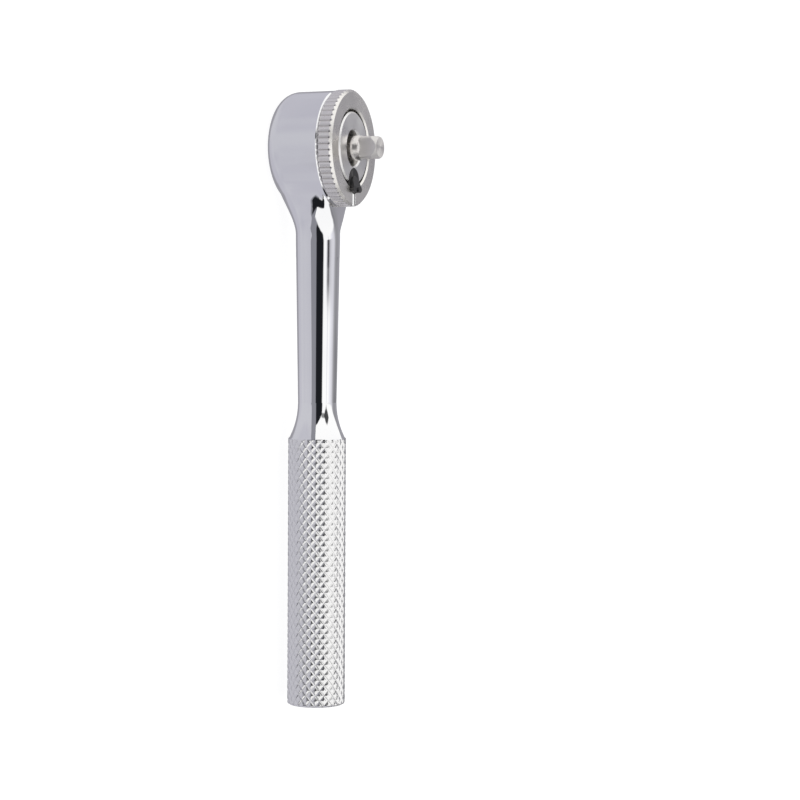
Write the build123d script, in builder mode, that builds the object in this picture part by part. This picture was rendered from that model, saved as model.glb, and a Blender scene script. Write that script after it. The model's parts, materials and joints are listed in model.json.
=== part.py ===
from build123d import *
import os
from math import cos, degrees, hypot, pi, radians, sin, sqrt

# Quarter-inch-drive ratchet wrench with a round head, a finger-spun drive ring and a reversing lever.
# It lies on the flat back of its head: the origin is the centre of that back face, +Z runs along the
# drive out of its square end, and the handle lies along -Y. Millimetres throughout.

# Head of the forging
head_diameter = 34.0
head_height = 17.7
head_back_round = 6.0
head_rim_bevel = 0.5
head_wall = 3.8
head_floor = 4.3

# Handle of the forging
handle_axis_height = 10.8
neck_length = 28.0
neck_plan_length = 25.0
blend_step = 0.02
neck_back_lift = 0.6
neck_front_squareness = 7.0
neck_back_squareness = 3.4
neck_front_blend = (0.3, 0.86)
neck_back_blend = (0.12, 0.88)
neck_begin_share = 0.5
neck_in_head_share = 0.97
neck_points = 24
neck_stations = 15
neck_stations_past = 3
shank_start_diameter = 13.1
shank_end_diameter = 11.5
shank_end = 75.4
flare_length = 10.3
flare_end_diameter = 16.4
grip_diameter = 17.3
grip_length = 80.0
grip_start_bevel = 0.45
grip_end_bevel = 0.8

# Ratchet gear cut in the head
tooth_count = 72
tooth_depth = 0.5
tooth_face = 7.0
gear_start = 6.5
mouth_step = 0.4

# Pawl, on the lever's shaft
pivot_to_tooth_root = 3.5
first_pawl_tooth = 5
pawl_tooth_count = 3
pawl_thickness = 6.1
pawl_wall = 1.0
pawl_nose_share = 0.8
pawl_back = 3.4
pawl_shoulder = 2.2
pawl_end_inset = 1.0
pawl_end_share = 0.72
pawl_web = 1.0
pocket_height = 6.2
pocket_start = 7.0

# Drive core
flange_thickness = 1.7
hub_height = 2.1
neck_diameter = 7.4
neck_above_ring = 2.55
square_width = 6.35
square_corner = 0.9
square_above_ring = 8.3
square_ramp = 0.55
tip_turned_length = 2.4
tip_turned_inset = 0.12

# Spin ring and cover
ring_overhang = 0.25
ring_band = 5.75
ring_thickness = 4.4
ring_face_bevel = 0.8
ring_edge_bevel = 0.3
flute_count = 60
flute_width = 1.15
flute_depth = 0.4
index_width = 1.9
index_depth = 0.35
cover_hole_diameter = 10.6
cover_bevel = 0.45

# Reversing lever
lever_hub_diameter = 7.4
lever_hub_thickness = 1.35
lever_shaft_diameter = 3.2
lever_shaft_seat = 1.2
lever_swing = 30.0
tab_height = 1.15
tab_reach = 3.4
tab_rise = 1.5
tab_tip_width = 6.7
tab_waist_width = 4.8
tab_waist_share = 0.12
tab_waist_bow = 0.25
tab_lobe_round = 1.05
tab_lobe_share = 0.62
tab_notch_share = 0.24
tab_notch_depth = 1.5
tab_notch_rim = 0.2
tab_low_end = 0.15
tab_crest_share = 0.5

# Springs and balls
detent_ball_diameter = 1.2
detent_ball_lift = 0.45
detent_wall = 0.5
detent_wire = 0.2
socket_ball_diameter = 2.4
socket_ball_lift = 0.4
socket_ball_from_tip = 2.7
socket_seat_past_centre = 1.6
socket_lip = 0.3
socket_coil_gap = 0.15
socket_wire = 0.3
spring_turns = 3
wire_sides = 8

# Retaining parts
washer_thickness = 0.6
washer_bore_diameter = 12.0
circlip_thickness = 0.8
circlip_groove_depth = 0.65
circlip_gap_angle = 40.0
circlip_eye_diameter = 1.5
circlip_eye_hole = 0.6
circlip_eye_inset = 0.3
seal_section = 1.6
seal_bevel = 0.4
key_diameter = 1.5
key_angles = [30, 90, 150]
dowel_diameter = 1.6
dowel_length = 3.0

# Clearances
bore_fit = 0.05
play = 0.05
seat = 0.02
pin_fit = 0.02
ball_fit = 0.03
notch_fit = 0.08
washer_gap = 0.2
ring_gap = 0.3
cover_gap = 0.75
lever_gap = 0.15
mesh_gap = 0.08
lift_gap = 0.12
pocket_gap = 0.25

# Radii worked out from the sizes above
head_radius = head_diameter / 2
tooth_root = head_radius - head_wall
tooth_tip = tooth_root - tooth_depth
mouth_radius = tooth_root + mouth_step
groove_radius = mouth_radius + circlip_groove_depth
journal_radius = tooth_tip - bore_fit
ring_radius = head_radius + ring_overhang
ring_bore = ring_radius - ring_band
hub_radius = ring_bore - seat
cover_radius = ring_bore - cover_gap
pivot_radius = tooth_root - pivot_to_tooth_root
tooth_pitch = 360 / tooth_count
shaft_radius = lever_shaft_diameter / 2
dowel_circle = (cover_radius + cover_hole_diameter / 2) / 2

# Heights worked out from the sizes above
gear_end = gear_start + tooth_face
core_base = head_floor + washer_thickness + 2 * play
flange_base = gear_end + play
flange_top = flange_base + flange_thickness
circlip_base = flange_top + play
circlip_top = circlip_base + circlip_thickness
seal_base = circlip_top + play
ring_base = head_height + ring_gap
ring_top = ring_base + ring_thickness
hub_top = ring_base + hub_height
cover_base = hub_top + seat
cover_top = ring_top - play
neck_top = ring_top + neck_above_ring
square_tip = ring_top + square_above_ring
ball_height = square_tip - socket_ball_from_tip
lever_top = ring_top + play
lever_base = lever_top - lever_hub_thickness
pocket_end = pocket_start + pocket_height
pawl_base = pocket_start + (pocket_height - pawl_thickness) / 2
ball_level = pocket_start + pocket_height / 2
shaft_foot = pocket_start - lever_shaft_seat

# The radial lift that a small rock about the lever's shaft gives the first tooth sets the pawl's swing.
first_tooth_angle = first_pawl_tooth * tooth_pitch
pawl_swing = degrees((tooth_depth + lift_gap) / (pivot_radius * sin(radians(first_tooth_angle))))


def polar(radius, angle):
    """A point at an angle from the handle's direction, -Y, turning towards +X."""
    return (radius * sin(radians(angle)), -radius * cos(radians(angle)))


def about_pivot(point, angle):
    """A point turned about the lever's shaft, anticlockwise seen from the drive."""
    x, y = point[0], point[1] + pivot_radius
    c, s = cos(radians(angle)), sin(radians(angle))
    return (c * x - s * y, s * x + c * y - pivot_radius)


# ---------------------------------------------------------------- forged body
shank_start_radius = shank_start_diameter / 2
shank_end_radius = shank_end_diameter / 2
grip_radius = grip_diameter / 2
grip_start = shank_end + flare_length
handle_end = grip_start + grip_length

# In plan the head runs into the shank along an arc that is tangent to both.
head_step = head_radius - shank_start_radius
neck_arc = (shank_start_radius**2 + neck_plan_length**2 - head_radius**2) / (2 * head_step)
neck_arc_centre = shank_start_radius + neck_arc
neck_tangent = neck_plan_length * head_radius / (head_radius + neck_arc)


def neck_half_width(reach):
    """Half of the forging's width at a distance down the handle from the head's centre."""
    if reach < neck_tangent:
        return neck_in_head_share * sqrt(head_radius**2 - reach**2)
    return neck_arc_centre - sqrt(neck_arc**2 - max(neck_plan_length - reach, 0) ** 2)


def eased(value, blend):
    """A share that goes smoothly from 0 to 1 between the two ends of a blend."""
    t = min(max((value - blend[0]) / (blend[1] - blend[0]), 0), 1)
    return t * t * (3 - 2 * t)


def neck_section(reach, share):
    """A section through the neck: flat-topped and round-backed at the head, round at the shank."""
    back_ease = eased(share, neck_back_blend)
    front_ease = eased(share, neck_front_blend)
    taper = (shank_end_radius - shank_start_radius) / (shank_end - neck_length)
    step = blend_step * share + taper * max(reach - neck_length, 0)
    half_width = neck_half_width(reach) + step
    front = head_height - head_rim_bevel - handle_axis_height
    front = front + (shank_start_radius - front) * front_ease + step
    back = handle_axis_height - neck_back_lift
    back = back + (shank_start_radius - back) * back_ease + step
    front_power = 2 / (2 + (neck_front_squareness - 2) * (1 - front_ease))
    back_power = 2 / (2 + (neck_back_squareness - 2) * (1 - back_ease))
    points = []
    for turn in range(neck_points):
        c, s = cos(2 * pi * turn / neck_points), sin(2 * pi * turn / neck_points)
        rise, power = (front, front_power) if s > 0 else (back, back_power)
        x = half_width * (1 if c > 0 else -1) * abs(c) ** power
        points.append((x, handle_axis_height + rise * (1 if s > 0 else -1) * abs(s) ** power))
    return points


def ratchet_outline(root, tip):
    """The closed zigzag of an internal gear with equal-sided teeth, a root on the handle's line."""
    corners = []
    for tooth in range(tooth_count):
        corners.append(polar(root, tooth * tooth_pitch))
        corners.append(polar(tip, (tooth + 0.5) * tooth_pitch))
    return corners


neck_begin = head_radius * neck_begin_share
with BuildPart() as forged_body:
    with BuildSketch(Plane.XZ) as head_side:
        with BuildLine():
            Polyline((0, head_height), (0, 0), (head_radius - head_back_round, 0))
            RadiusArc(
                (head_radius - head_back_round, 0), (head_radius, head_back_round), -head_back_round
            )
            Polyline(
                (head_radius, head_back_round),
                (head_radius, head_height - head_rim_bevel),
                (head_radius - head_rim_bevel, head_height),
                (0, head_height),
            )
        make_face()
    revolve(axis=Axis.Z)
    for station in range(neck_stations + neck_stations_past):
        share = station / (neck_stations - 1)
        reach = neck_begin + (neck_length - neck_begin) * share
        with BuildSketch(Plane.XZ.offset(reach)):
            with BuildLine():
                Spline(*neck_section(reach, share), periodic=True)
            make_face()
    loft()
    # Shank, flare and grip, turned about the handle's axis
    with BuildSketch(Plane.YZ) as handle_side:
        axis_end = (-handle_end, handle_axis_height)
        axis_start = (-neck_length, handle_axis_height)
        flare_rise = flare_end_diameter / 2 - shank_end_radius
        flare_arc = (flare_length**2 + flare_rise**2) / (2 * flare_rise)
        with BuildLine():
            Polyline(
                axis_end,
                axis_start,
                (-neck_length, handle_axis_height + shank_start_radius),
                (-shank_end, handle_axis_height + shank_end_radius),
            )
            RadiusArc(
                (-shank_end, handle_axis_height + shank_end_radius),
                (-grip_start, handle_axis_height + flare_end_diameter / 2),
                flare_arc,
            )
            Polyline(
                (-grip_start, handle_axis_height + flare_end_diameter / 2),
                (-grip_start - grip_start_bevel, handle_axis_height + grip_radius),
                (-handle_end + grip_end_bevel, handle_axis_height + grip_radius),
                (-handle_end, handle_axis_height + grip_radius - grip_end_bevel),
                axis_end,
            )
        make_face()
    revolve(axis=Axis((0, 0, handle_axis_height), (0, 1, 0)))
    # Stepped bore: floor recess, ratchet gear, mouth and circlip groove
    with BuildSketch(Plane.XY.offset(head_floor)):
        Circle(tooth_tip)
    extrude(amount=head_height, mode=Mode.SUBTRACT)
    with BuildSketch(Plane.XY.offset(gear_start)):
        with BuildLine():
            Polyline(*ratchet_outline(tooth_root, tooth_tip), close=True)
        make_face()
    extrude(amount=tooth_face, mode=Mode.SUBTRACT)
    with BuildSketch(Plane.XY.offset(gear_end)):
        Circle(mouth_radius)
    extrude(amount=head_height, mode=Mode.SUBTRACT)
    with BuildSketch(Plane.XY.offset(circlip_base - seat)):
        Circle(groove_radius)
    extrude(amount=circlip_thickness + 2 * seat, mode=Mode.SUBTRACT)

# -------------------------------------------------------------- thrust washer
with BuildPart() as thrust_washer:
    with BuildSketch(Plane.XY.offset(head_floor + seat)):
        Circle(tooth_tip - washer_gap)
        Circle(washer_bore_diameter / 2, mode=Mode.SUBTRACT)
    extrude(amount=washer_thickness)

# ----------------------------------------------------------------- drive core
with BuildPart() as drive_core:
    # The body of the core, turned: journal, flange and the hub that the ring sits on
    with BuildSketch(Plane.XZ):
        with BuildLine():
            Polyline(
                (0, core_base),
                (journal_radius, core_base),
                (journal_radius, flange_base),
                (mouth_radius - bore_fit, flange_base),
                (mouth_radius - bore_fit, flange_top),
                (hub_radius, flange_top),
                (hub_radius, hub_top),
                (neck_diameter / 2, hub_top),
                (neck_diameter / 2, neck_top),
                (0, neck_top),
                close=True,
            )
        make_face()
    revolve(axis=Axis.Z)
    # Pocket for the pawl, open to the gear
    pawl_tip = polar(tooth_root, first_tooth_angle + (pawl_tooth_count - 0.5) * tooth_pitch)
    with BuildSketch(Plane.XY.offset(pocket_start)):
        with Locations((0, -pivot_radius)):
            Circle(hypot(pawl_tip[0], pawl_tip[1] + pivot_radius) + pocket_gap)
        with Locations((0, -pivot_radius + pawl_back + 3 * pocket_gap)):
            Rectangle(
                2 * head_diameter, head_diameter, align=(Align.CENTER, Align.MIN), mode=Mode.SUBTRACT
            )
    extrude(amount=pocket_height, mode=Mode.SUBTRACT)
    # Bearing for the lever's shaft, through the roof and part way into the floor
    with BuildSketch(Plane.XY.offset(shaft_foot - play)):
        with Locations((0, -pivot_radius)):
            Circle(shaft_radius + bore_fit)
    extrude(amount=hub_top, mode=Mode.SUBTRACT)
    # Half of each key's hole, and the blind holes for the cover's dowels
    with BuildSketch(Plane.XY.offset(hub_top)):
        for angle in key_angles:
            with PolarLocations(ring_bore, 1, start_angle=angle):
                Circle(key_diameter / 2 + pin_fit)
    extrude(amount=-hub_height, mode=Mode.SUBTRACT)
    with BuildSketch(Plane.XY.offset(hub_top)):
        with PolarLocations(dowel_circle, 2):
            Circle(dowel_diameter / 2 + pin_fit)
    extrude(amount=-dowel_length / 2 - seat, mode=Mode.SUBTRACT)

# The square end: flats milled on a flared round bar with a turned tip, and a ramp up to the neck
with BuildPart() as square_end:
    with BuildSketch(Plane.XY.offset(neck_top)):
        RectangleRounded(square_width, square_width, square_corner)
    extrude(amount=square_tip - neck_top)
    with BuildSketch(Plane.XZ):
        corner_radius = square_width / sqrt(2)
        with BuildLine():
            Polyline(
                (0, neck_top),
                (neck_diameter / 2, neck_top),
                (corner_radius, neck_top + square_ramp),
                (corner_radius, square_tip - tip_turned_length),
                (square_width / 2 - tip_turned_inset, square_tip),
                (0, square_tip),
                close=True,
            )
        make_face()
    revolve(axis=Axis.Z, mode=Mode.INTERSECT)
    with BuildSketch(Plane.XZ):
        with BuildLine():
            Polyline(
                (0, neck_top),
                (neck_diameter / 2, neck_top),
                (square_width / 2, neck_top + square_ramp),
                (0, neck_top + square_ramp),
                close=True,
            )
        make_face()
    revolve(axis=Axis.Z)
    # Hole for the socket ball and its spring, with a staked lip at the mouth
    ball_radius = socket_ball_diameter / 2
    ball_centre = square_width / 2 + socket_ball_lift - ball_radius
    spring_seat = -socket_seat_past_centre
    lip_start = square_width / 2 - socket_lip
    lip_radius = sqrt(ball_radius**2 - (lip_start - ball_centre) ** 2) + ball_fit
    with BuildSketch(Plane.YZ.offset(spring_seat)):
        with Locations((0, ball_height)):
            Circle(ball_radius + ball_fit)
    extrude(amount=lip_start - spring_seat, mode=Mode.SUBTRACT)
    with BuildSketch(Plane.YZ.offset(spring_seat)):
        with Locations((0, ball_height)):
            Circle(lip_radius)
    extrude(amount=square_width, mode=Mode.SUBTRACT)

with BuildPart() as drive_core_whole:
    add(drive_core.part)
    add(square_end.part)

# ------------------------------------------------------------------ spin ring
with BuildPart() as spin_ring:
    with BuildSketch(Plane.XZ):
        with BuildLine():
            Polyline(
                (ring_bore, ring_base),
                (ring_radius - ring_edge_bevel, ring_base),
                (ring_radius, ring_base + ring_edge_bevel),
                (ring_radius, ring_top - ring_face_bevel),
                (ring_radius - ring_face_bevel, ring_top),
                (ring_bore + cover_bevel, ring_top),
                (ring_bore, ring_top - cover_bevel),
                close=True,
            )
        make_face()
    revolve(axis=Axis.Z)
    # Coin edge: vee flutes, each cut by a triangle that stands twice its depth out of the rim
    with BuildSketch(Plane.XY.offset(ring_base)):
        with PolarLocations(ring_radius - flute_depth, flute_count, start_angle=-90):
            Polygon((0, 0), (2 * flute_depth, flute_width), (2 * flute_depth, -flute_width), align=None)
    extrude(amount=ring_thickness, mode=Mode.SUBTRACT)
    # Index groove across the face, in line with the lever
    with BuildSketch(Plane.XY.offset(ring_top)):
        with Locations((0, -ring_bore)):
            Rectangle(index_width, 2 * ring_band, align=(Align.CENTER, Align.MAX))
    extrude(amount=-index_depth, mode=Mode.SUBTRACT)
    # Recess for the lever's hub, hole for its shaft, and half of each key's hole
    with BuildSketch(Plane.XY.offset(lever_base - play)):
        with Locations((0, -pivot_radius)):
            Circle(lever_hub_diameter / 2 + lever_gap)
    extrude(amount=ring_thickness, mode=Mode.SUBTRACT)
    with BuildSketch(Plane.XY.offset(ring_base)):
        with Locations((0, -pivot_radius)):
            Circle(shaft_radius + lever_gap)
    extrude(amount=ring_thickness, mode=Mode.SUBTRACT)
    with BuildSketch(Plane.XY.offset(ring_base)):
        for angle in key_angles:
            with PolarLocations(ring_bore, 1, start_angle=angle):
                Circle(key_diameter / 2 + pin_fit)
    extrude(amount=hub_height, mode=Mode.SUBTRACT)

# ------------------------------------------------- keys between ring and core
with BuildPart() as ring_keys:
    with BuildSketch(Plane.XY.offset(ring_base + seat)):
        for angle in key_angles:
            with PolarLocations(ring_bore, 1, start_angle=angle):
                Circle(key_diameter / 2)
    extrude(amount=hub_height - 2 * seat)

# ----------------------------------------------------------------- cover disc
with BuildPart() as cover_disc:
    with BuildSketch(Plane.XY.offset(cover_base)):
        Circle(cover_radius)
        Circle(cover_hole_diameter / 2, mode=Mode.SUBTRACT)
    extrude(amount=cover_top - cover_base)
    chamfer(cover_disc.faces().sort_by(Axis.Z)[-1].edges(), length=cover_bevel)
    with BuildSketch(Plane.XY.offset(lever_base - play)):
        with Locations((0, -pivot_radius)):
            Circle(lever_hub_diameter / 2 + lever_gap)
    extrude(amount=ring_thickness, mode=Mode.SUBTRACT)
    with BuildSketch(Plane.XY.offset(cover_base)):
        with Locations((0, -pivot_radius)):
            Circle(shaft_radius + lever_gap)
    extrude(amount=ring_thickness, mode=Mode.SUBTRACT)
    with BuildSketch(Plane.XY.offset(cover_base)):
        with PolarLocations(dowel_circle, 2):
            Circle(dowel_diameter / 2 + pin_fit)
    extrude(amount=dowel_length / 2, mode=Mode.SUBTRACT)

# --------------------------------------------------------------- cover dowels
with BuildPart() as cover_dowels:
    with BuildSketch(Plane.XY.offset(hub_top - dowel_length / 2)):
        with PolarLocations(dowel_circle, 2):
            Circle(dowel_diameter / 2)
    extrude(amount=dowel_length - 2 * seat)

# -------------------------------------------------------------------- circlip
# An internal ring sprung into the mouth's groove over the core's flange, open on the handle's side.
circlip_outer = groove_radius - pin_fit
circlip_inner = (hub_radius + mouth_radius) / 2
eye_circle = circlip_inner + circlip_eye_diameter / 2 - circlip_eye_inset
with BuildPart() as core_circlip:
    with BuildSketch(Plane.XY.offset(circlip_base)):
        Circle(circlip_outer)
        Circle(circlip_inner, mode=Mode.SUBTRACT)
        with BuildLine(mode=Mode.PRIVATE) as opening:
            Polyline(
                (0, 0),
                polar(2 * head_radius, -circlip_gap_angle / 2),
                polar(2 * head_radius, circlip_gap_angle / 2),
                close=True,
            )
        make_face(opening.edges(), mode=Mode.SUBTRACT)
        for side in (-1, 1):
            with Locations(polar(eye_circle, side * circlip_gap_angle / 2)):
                Circle(circlip_eye_diameter / 2)
                Circle(circlip_eye_hole / 2, mode=Mode.SUBTRACT)
    extrude(amount=circlip_thickness)

# ---------------------------------------------------------------- grease seal
with BuildPart() as grease_seal:
    with BuildSketch(Plane.XZ):
        with BuildLine():
            seal_inner = hub_radius + seat
            seal_outer, seal_top = seal_inner + seal_section, seal_base + seal_section
            Polyline(
                (seal_inner, seal_base),
                (seal_outer - seal_bevel, seal_base),
                (seal_outer, seal_base + seal_bevel),
                (seal_outer, seal_top - seal_bevel),
                (seal_outer - seal_bevel, seal_top),
                (seal_inner, seal_top),
                close=True,
            )
        make_face()
    revolve(axis=Axis.Z)

# ------------------------------------------------------------ reversing lever
detent_radius = detent_ball_diameter / 2
detent_reach = shaft_radius + detent_ball_lift - detent_radius
detent_seat = -shaft_radius + detent_wall
with BuildPart() as reversing_lever:
    with BuildSketch(Plane.XY.offset(shaft_foot)):
        with Locations((0, -pivot_radius)):
            Circle(shaft_radius)
    extrude(amount=lever_base - shaft_foot)
    with BuildSketch(Plane.XY.offset(lever_base)):
        with Locations((0, -pivot_radius)):
            Circle(lever_hub_diameter / 2)
    extrude(amount=lever_hub_thickness)
    # Thumb tab: a fishtail over the handle's half of the hub, with a notch in its end
    half_tip, half_waist = tab_tip_width / 2, tab_waist_width / 2
    tip_y = -pivot_radius - tab_reach
    waist_y = -pivot_radius - tab_waist_share * tab_reach
    lobe_y = tip_y + tab_lobe_round
    rim_x = tab_notch_share * half_tip
    with BuildSketch(Plane.XY.offset(lever_top)) as tab_plan:
        with BuildLine():
            ThreePointArc(
                (-half_waist, waist_y), (0, -pivot_radius + tab_rise), (half_waist, waist_y)
            )
            for side in (-1, 1):
                bow_x = side * ((half_waist + half_tip) / 2 - tab_waist_bow)
                ThreePointArc(
                    (side * half_waist, waist_y),
                    (bow_x, (waist_y + lobe_y) / 2),
                    (side * half_tip, lobe_y),
                )
                ThreePointArc(
                    (side * half_tip, lobe_y),
                    (side * tab_lobe_share * half_tip, tip_y),
                    (side * rim_x, tip_y + tab_notch_rim),
                )
            ThreePointArc(
                (rim_x, tip_y + tab_notch_rim),
                (0, tip_y + tab_notch_depth),
                (-rim_x, tip_y + tab_notch_rim),
            )
        make_face()
    extrude(amount=tab_height)
    # The tab's top slopes down to the hub on the drive's side
    high_y = -pivot_radius - tab_crest_share * tab_reach
    low_y = -pivot_radius + tab_rise
    with BuildSketch(Plane.YZ):
        with BuildLine():
            Polyline(
                (low_y, lever_top + tab_low_end),
                (low_y, lever_top + 2 * tab_height),
                (high_y, lever_top + 2 * tab_height),
                (high_y, lever_top + tab_height),
                close=True,
            )
        make_face()
    extrude(amount=lever_hub_diameter, both=True, mode=Mode.SUBTRACT)
    # Cross hole for the detent ball and spring
    with BuildSketch(Plane.XZ.offset(pivot_radius - detent_seat)):
        with Locations((0, ball_level)):
            Circle(detent_radius + ball_fit)
    extrude(amount=-lever_shaft_diameter, mode=Mode.SUBTRACT)

# ----------------------------------------------------------------------- pawl
last_tooth_angle = first_tooth_angle + (pawl_tooth_count - 1) * tooth_pitch
relative_swing = lever_swing - pawl_swing


def pawl_half():
    """The right half of the pawl's outline at rest, from the handle's side round to its back."""
    nose = pivot_radius + shaft_radius + pawl_wall
    outline = [(0, -nose), (pawl_nose_share * shaft_radius, -nose)]
    crest, trough = tooth_root - mesh_gap, tooth_tip - mesh_gap
    outline.append(about_pivot(polar(trough, first_tooth_angle - tooth_pitch / 2), pawl_swing))
    for tooth in range(pawl_tooth_count):
        angle = first_tooth_angle + tooth * tooth_pitch
        outline.append(about_pivot(polar(crest, angle), pawl_swing))
        outline.append(about_pivot(polar(trough, angle + tooth_pitch / 2), pawl_swing))
    end_x = outline[-1][0]
    outline.append((end_x - pawl_end_inset, -pivot_radius + pawl_end_share * pawl_back))
    outline.append((pawl_shoulder, -pivot_radius + pawl_back))
    outline.append((0, -pivot_radius + pawl_back))
    return outline


right_half = pawl_half()
left_half = [(-x, y) for x, y in reversed(right_half[1:-1])]
with BuildPart() as pawl:
    with BuildSketch(Plane.XY.offset(pawl_base)):
        with BuildLine():
            Polyline(*right_half, *left_half, close=True)
        make_face()
        with Locations((0, -pivot_radius)):
            Circle(shaft_radius + bore_fit, mode=Mode.SUBTRACT)
    extrude(amount=pawl_thickness)
    # Three scallops in the bore, where the detent ball clicks: one at rest and one each side
    with BuildSketch(Plane.XY.offset(pawl_base + pawl_web)):
        with Locations((0, -pivot_radius)):
            with PolarLocations(detent_reach, 3, 90 - relative_swing, 2 * relative_swing, endpoint=True):
                Circle(detent_radius + notch_fit)
    extrude(amount=pawl_thickness - 2 * pawl_web, mode=Mode.SUBTRACT)

# -------------------------------------------------------------- balls, springs
with BuildPart() as detent_ball:
    with Locations((0, -pivot_radius + detent_reach, ball_level)):
        Sphere(detent_radius)

with BuildPart() as socket_ball:
    with Locations((ball_centre, 0, ball_height)):
        Sphere(ball_radius)


def coil(start, direction, length, outer_radius, wire):
    """A compression spring that stands on a point and runs in a direction, its wire drawn many-sided."""
    rise = length - wire
    first = Vector(*start) + Vector(*direction) * (wire / 2)
    with BuildPart() as spring:
        with BuildLine():
            pitch = rise / spring_turns
            path = Helix(pitch, rise, outer_radius - wire / 2, center=first, direction=direction)
        with BuildSketch(Plane(origin=path @ 0, z_dir=path % 0)):
            RegularPolygon(wire / 2, wire_sides)
        sweep(path=path, is_frenet=True)
    return spring.part


detent_spring_length = detent_reach - detent_radius - detent_seat - seat
detent_spring = coil(
    (0, -pivot_radius + detent_seat, ball_level), (0, 1, 0),
    detent_spring_length, detent_radius - ball_fit, detent_wire,
)
socket_spring_length = ball_centre - ball_radius - spring_seat - seat
socket_spring = coil(
    (spring_seat, 0, ball_height), (1, 0, 0),
    socket_spring_length, ball_radius - socket_coil_gap, socket_wire,
)

# -------------------------------------------------------------------- written
os.makedirs("parts", exist_ok=True)
forged_body.part.label = "forged_body"
export_step(forged_body.part, "parts/forged_body.step")
thrust_washer.part.label = "thrust_washer"
export_step(thrust_washer.part, "parts/thrust_washer.step")
drive_core_whole.part.label = "drive_core"
export_step(drive_core_whole.part, "parts/drive_core.step")
spin_ring.part.label = "spin_ring"
export_step(spin_ring.part, "parts/spin_ring.step")
ring_keys.part.label = "ring_keys"
export_step(ring_keys.part, "parts/ring_keys.step")
cover_disc.part.label = "cover_disc"
export_step(cover_disc.part, "parts/cover_disc.step")
cover_dowels.part.label = "cover_dowels"
export_step(cover_dowels.part, "parts/cover_dowels.step")
core_circlip.part.label = "core_circlip"
export_step(core_circlip.part, "parts/core_circlip.step")
grease_seal.part.label = "grease_seal"
export_step(grease_seal.part, "parts/grease_seal.step")
reversing_lever.part.label = "reversing_lever"
export_step(reversing_lever.part, "parts/reversing_lever.step")
detent_ball.part.label = "detent_ball"
export_step(detent_ball.part, "parts/detent_ball.step")
detent_spring.label = "detent_spring"
export_step(detent_spring, "parts/detent_spring.step")
pawl.part.label = "pawl"
export_step(pawl.part, "parts/pawl.step")
socket_ball.part.label = "socket_ball"
export_step(socket_ball.part, "parts/socket_ball.step")
socket_spring.label = "socket_spring"
export_step(socket_spring, "parts/socket_spring.step")
print("pawl swing", round(pawl_swing, 3), "coupling", round(pawl_swing / lever_swing, 5))
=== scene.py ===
import json
from math import atan2, cos, hypot, inf, pi, radians, sin

import bpy
import numpy as np
from mathutils import Matrix, Vector

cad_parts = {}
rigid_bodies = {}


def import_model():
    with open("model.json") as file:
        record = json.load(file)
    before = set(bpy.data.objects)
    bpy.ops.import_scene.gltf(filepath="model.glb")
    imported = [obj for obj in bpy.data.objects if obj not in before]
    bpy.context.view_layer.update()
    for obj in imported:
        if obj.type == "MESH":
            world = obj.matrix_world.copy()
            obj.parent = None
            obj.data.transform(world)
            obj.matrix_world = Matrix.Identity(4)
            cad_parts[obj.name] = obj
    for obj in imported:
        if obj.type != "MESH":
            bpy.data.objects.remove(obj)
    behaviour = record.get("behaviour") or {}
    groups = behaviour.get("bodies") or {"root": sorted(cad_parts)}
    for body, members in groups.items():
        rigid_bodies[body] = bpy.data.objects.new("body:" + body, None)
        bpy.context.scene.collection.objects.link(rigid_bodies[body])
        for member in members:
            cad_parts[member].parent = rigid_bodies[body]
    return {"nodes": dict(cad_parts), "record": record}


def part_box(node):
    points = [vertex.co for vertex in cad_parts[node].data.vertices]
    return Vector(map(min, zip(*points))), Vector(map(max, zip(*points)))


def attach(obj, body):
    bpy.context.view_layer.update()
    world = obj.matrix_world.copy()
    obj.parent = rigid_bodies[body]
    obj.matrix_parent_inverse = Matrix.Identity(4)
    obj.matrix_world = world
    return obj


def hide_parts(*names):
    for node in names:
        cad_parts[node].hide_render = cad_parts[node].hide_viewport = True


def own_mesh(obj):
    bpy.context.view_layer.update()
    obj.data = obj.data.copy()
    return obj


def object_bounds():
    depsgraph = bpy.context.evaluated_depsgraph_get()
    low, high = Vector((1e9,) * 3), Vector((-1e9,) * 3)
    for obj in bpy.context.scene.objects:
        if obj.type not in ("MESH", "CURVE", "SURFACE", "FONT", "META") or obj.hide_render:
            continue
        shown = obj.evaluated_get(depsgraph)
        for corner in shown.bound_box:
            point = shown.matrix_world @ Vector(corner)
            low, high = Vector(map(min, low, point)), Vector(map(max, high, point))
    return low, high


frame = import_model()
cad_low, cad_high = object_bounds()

# A ratchet wrench that lies on the flat back of its head: drive up, handle along -Y. Metres throughout.
nodes = frame["nodes"]
mounts = {mount["name"]: mount for mount in frame["record"]["mounts"]}
mm = 0.001

# ------------------------------------------------------------------ sizes from the frame
body_low, body_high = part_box("forged_body")
ring_low, ring_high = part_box("spin_ring")
head_radius = body_high.x
handle_end = body_low.y
grip = mounts["grip"]
grip_radius = grip["dims"]["r_mm"] * mm
grip_length = grip["dims"]["length_mm"] * mm
axis_height = grip["pos_m"][2]
grip_near = grip["pos_m"][1] + grip_length / 2
grip_far = grip["pos_m"][1] - grip_length / 2

# ------------------------------------------------------------------ the knurl's own sizes
knurl_around = 20
knurl_pitch = 3.06 * mm
knurl_depth = 0.3 * mm
knurl_power = 2.0
knurl_margin = 0.1 * mm
collar_lean = 0.5
knurl_run_in = 0.2 * mm
knurl_turn = 0.29
knurl_shift = 0.315
cells_across = 8
row_margin = 0.02 * mm
end_rings = 6
flare_reach = 0.1 * mm
end_reach = 0.01 * mm

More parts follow.
